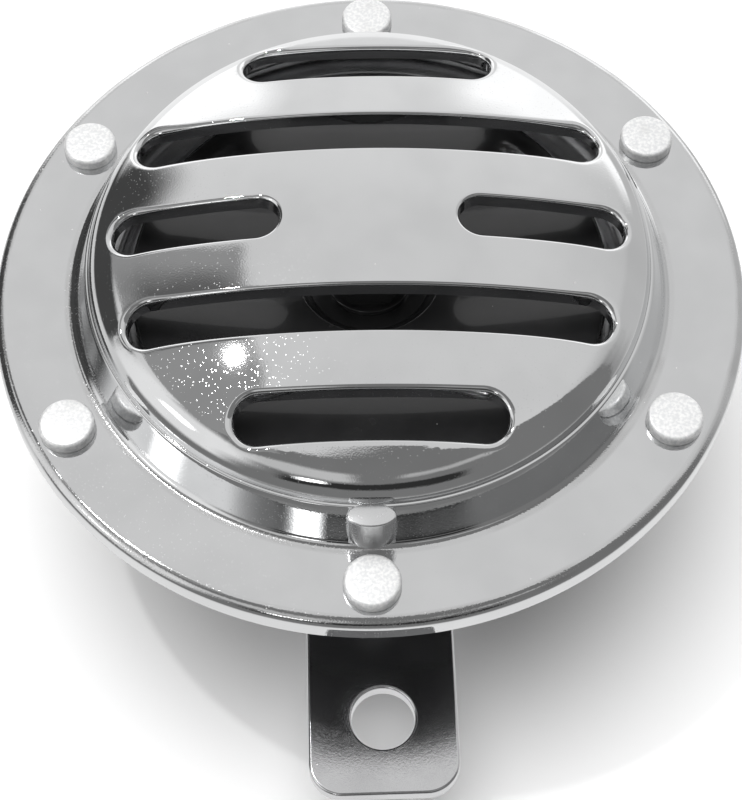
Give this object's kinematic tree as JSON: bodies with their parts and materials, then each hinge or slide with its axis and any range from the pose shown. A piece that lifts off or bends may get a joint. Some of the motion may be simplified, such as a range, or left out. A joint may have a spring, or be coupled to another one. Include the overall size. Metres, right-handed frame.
{
  "type": "car horn",
  "caption": "Disc horn: round plated grille with rolled slots over a tone disc, riveted rim, rear magnet housing and a flat mounting strap with a bolt hole.",
  "frame": {"origin": "axis of the strap's bolt hole, on the strap's rear face", "axes": "+Z is the way the sound leaves and the bolt hole's axis, +Y from the bolt hole towards the horn, +X to the right of someone who faces the grille with the strap hanging down"},
  "size_m": [0.102, 0.1151, 0.0534],
  "materials": {
    "chrome_sheet": "bright decorative plating over pressed sheet, mirror gloss with fine speckle",
    "rivet_metal": "zinc-coated solid rivets, dull satin heads",
    "gasket": "thin dark fibre-rubber jointing, matt",
    "spring_steel": "rolled spring steel, plain",
    "black_enamel": "gloss black stoved enamel",
    "housing_enamel": "semi-gloss dark enamel over pressed steel",
    "zinc_steel": "zinc-plated turned and stamped steel",
    "yellow_zinc": "yellow-passivated plated nuts and spades",
    "soft_iron": "plain soft steel magnet parts, lightly oiled",
    "bobbin_plastic": "natural moulded bobbin",
    "copper_wire": "enamelled copper winding wire, glossy layers",
    "phenolic": "dark pressed phenolic sheet",
    "leaf_bronze": "rolled phosphor bronze leaf",
    "contact_metal": "tungsten contact tips, grey, slightly arced",
    "red_lead": "red insulated lead",
    "black_lead": "black insulated lead",
    "tinned": "tinned stamped tags",
    "plated_strap": "bright plated steel strap, blurred gloss"
  },
  "bodies": {
    "root": {"front_grille": "chrome_sheet", "flange_rivets": "rivet_metal", "front_gasket": "gasket", "diaphragm": "spring_steel", "rear_gasket": "gasket", "rear_housing": "housing_enamel", "tone_disc": "black_enamel", "tone_disc_washer": "black_enamel", "tone_disc_nut": "black_enamel", "diaphragm_washer": "zinc_steel", "armature_stud": "zinc_steel", "armature_plate": "soft_iron", "magnet_core": "zinc_steel", "magnet_yoke": "soft_iron", "coil_bobbin": "bobbin_plastic", "coil_winding": "copper_wire", "breaker_base": "phenolic", "contact_leaf": "leaf_bronze", "leaf_pusher": "phenolic", "moving_contact": "contact_metal", "fixed_contact": "contact_metal", "breaker_spacer": "phenolic", "contact_arm": "zinc_steel", "breaker_insulator": "phenolic", "breaker_clamp": "zinc_steel", "breaker_sleeves": "bobbin_plastic", "breaker_rivets": "zinc_steel", "adjuster_bush": "yellow_zinc", "adjusting_screw": "zinc_steel", "adjuster_lock_nut": "yellow_zinc", "terminal_plate": "phenolic", "terminal_inner_plate": "phenolic", "coil_terminal": "yellow_zinc", "breaker_terminal": "yellow_zinc", "terminal_rivets": "yellow_zinc", "solder_tags": "tinned", "coil_lead": "red_lead", "breaker_lead": "red_lead", "feed_lead": "black_lead", "strap_spacer": "zinc_steel", "mounting_strap": "plated_strap", "lock_washer": "zinc_steel", "mounting_nut": "zinc_steel"}
  },
  "joints": []
}
